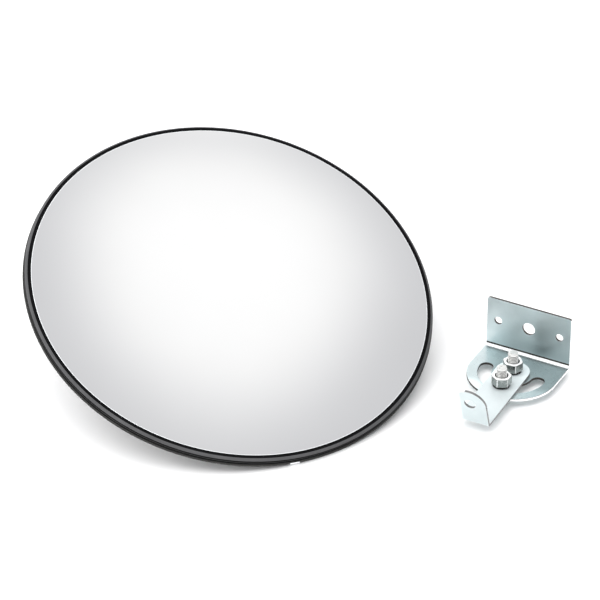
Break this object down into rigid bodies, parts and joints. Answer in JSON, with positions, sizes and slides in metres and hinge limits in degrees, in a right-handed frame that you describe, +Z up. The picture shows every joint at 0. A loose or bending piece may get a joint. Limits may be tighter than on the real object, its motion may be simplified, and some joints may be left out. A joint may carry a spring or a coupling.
{
  "type": "convex security mirror",
  "caption": "Round convex security mirror in a black edge trim, with a rear mounting stud and a zinc plated wall bracket whose slotted base carries a swivel arm.",
  "frame": {"origin": "middle of the underside of the whole part's bounding box, on the floor", "axes": "+X to the right along the wall plate, +Y towards the wall the bracket is made for, +Z up"},
  "size_m": [0.3678, 0.294, 0.1218],
  "materials": {
    "mirror_acrylic": "polished domed mirror",
    "trim_rubber": "smooth black, low sheen",
    "cover_plastic": "matte black",
    "bracket_steel": "bright zinc plated sheet",
    "hardware_steel": "bright zinc plated fasteners",
    "clip_steel": "bright plated"
  },
  "bodies": {
    "mirror_head": {"mirror_face": "mirror_acrylic", "rim_trim": "trim_rubber", "rim_joint_clip": "clip_steel", "rim_joint_screw": "clip_steel", "back_cover": "cover_plastic", "stud_plate": "hardware_steel", "stud_bolt": "hardware_steel", "stud_jam_washer": "hardware_steel", "stud_jam_nut": "hardware_steel", "mount_flat_washer": "hardware_steel", "mount_spring_washer": "hardware_steel", "mount_nut": "hardware_steel"},
    "bracket_base": {"wall_bracket": "bracket_steel", "pivot_bolt": "hardware_steel", "pivot_washer": "hardware_steel", "pivot_nut": "hardware_steel"},
    "bracket_arm": {"swivel_arm": "bracket_steel", "clamp_bolt": "hardware_steel", "clamp_washer": "hardware_steel", "clamp_nut": "hardware_steel"}
  },
  "joints": [
    {"name": "bracket_lies_loose", "type": "slide", "parent": "mirror_head", "child": "bracket_base", "axis": [0, 1, 0], "range_m": [0, 0.06]},
    {"name": "arm_swivel", "type": "hinge", "parent": "bracket_base", "child": "bracket_arm", "pos_m": [0.15065, 0.07205, 0], "axis": [0, 0, 1], "range_deg": [-30, 85]}
  ]
}
